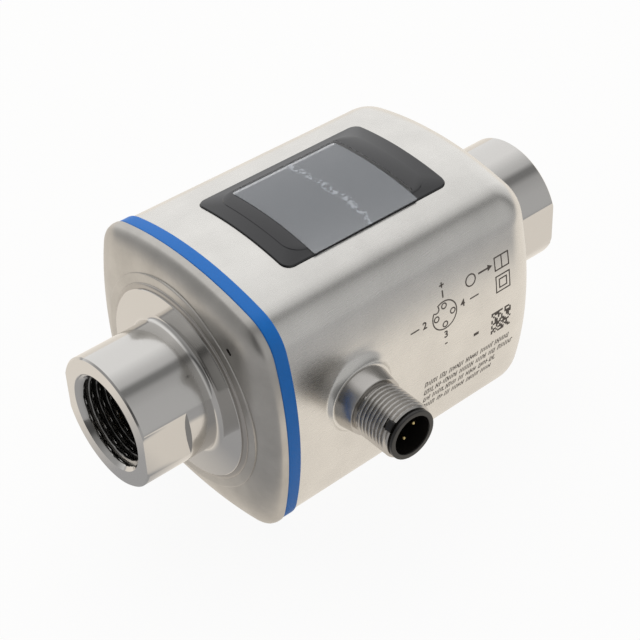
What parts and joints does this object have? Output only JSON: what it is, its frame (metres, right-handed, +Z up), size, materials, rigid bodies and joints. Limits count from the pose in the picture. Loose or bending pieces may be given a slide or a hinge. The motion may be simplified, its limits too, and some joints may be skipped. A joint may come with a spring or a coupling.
{
  "type": "electromagnetic flow meter",
  "caption": "Compact in-line magnetic flow meter: drawn square steel housing with a display window, female threaded ports on the flow axis and a round side plug.",
  "frame": {"origin": "centre of the inlet port's mouth, on the flow axis", "axes": "+X with the flow from inlet to outlet, +Z up through the display, and the round plug points along -Y"},
  "size_m": [0.11, 0.0732, 0.0582],
  "materials": {
    "drawn_steel": "satin, fine bead blasted",
    "tumbled_steel": "matt, tumbled",
    "turned_steel": "fine turned",
    "weld_steel": "satin, slightly straw coloured",
    "blue_silicone": "matt, smooth",
    "clear_cover": "polished clear",
    "clear_film": "slightly cloudy film",
    "black_print": "matt black print",
    "display_panel": "smooth",
    "board_green": "solder mask",
    "black_plastic": "moulded",
    "grey_plastic": "moulded",
    "tube_plastic": "machined",
    "black_rubber": "moulded",
    "soft_iron": "blank",
    "copper_wire": "enamelled",
    "gold_plate": "plated",
    "plated_metal": "plated, turned"
  },
  "bodies": {
    "root": {"housing": "drawn_steel", "front_cap": "tumbled_steel", "seal_ring": "blue_silicone", "inlet_fitting": "turned_steel", "outlet_fitting": "turned_steel", "inlet_weld": "weld_steel", "outlet_weld": "weld_steel", "window_lens": "clear_cover", "protective_film": "clear_film", "window_seal": "black_rubber", "window_mask": "black_print", "display_module": "display_panel", "display_board": "board_green", "display_frame": "black_plastic", "board_link": "black_plastic", "main_board": "board_green", "board_chips": "black_plastic", "board_screws": "plated_metal", "board_carrier": "grey_plastic", "measuring_tube": "tube_plastic", "inlet_tube_seal": "black_rubber", "outlet_tube_seal": "black_rubber", "temperature_sensor": "turned_steel", "plug_shell": "plated_metal", "plug_insert": "black_plastic", "plug_seal": "black_rubber", "plug_nut": "plated_metal", "plug_board": "board_green", "plug_contact_1": "gold_plate", "plug_contact_2": "gold_plate", "plug_contact_3": "gold_plate", "plug_contact_4": "gold_plate", "near_electrode": "turned_steel", "near_electrode_seal": "black_rubber", "near_electrode_nut": "plated_metal", "far_electrode": "turned_steel", "far_electrode_seal": "black_rubber", "far_electrode_nut": "plated_metal", "upper_pole": "soft_iron", "upper_yoke": "soft_iron", "upper_bobbin": "grey_plastic", "upper_coil": "copper_wire", "lower_pole": "soft_iron", "lower_yoke": "soft_iron", "lower_bobbin": "grey_plastic", "lower_coil": "copper_wire"}
  },
  "joints": []
}
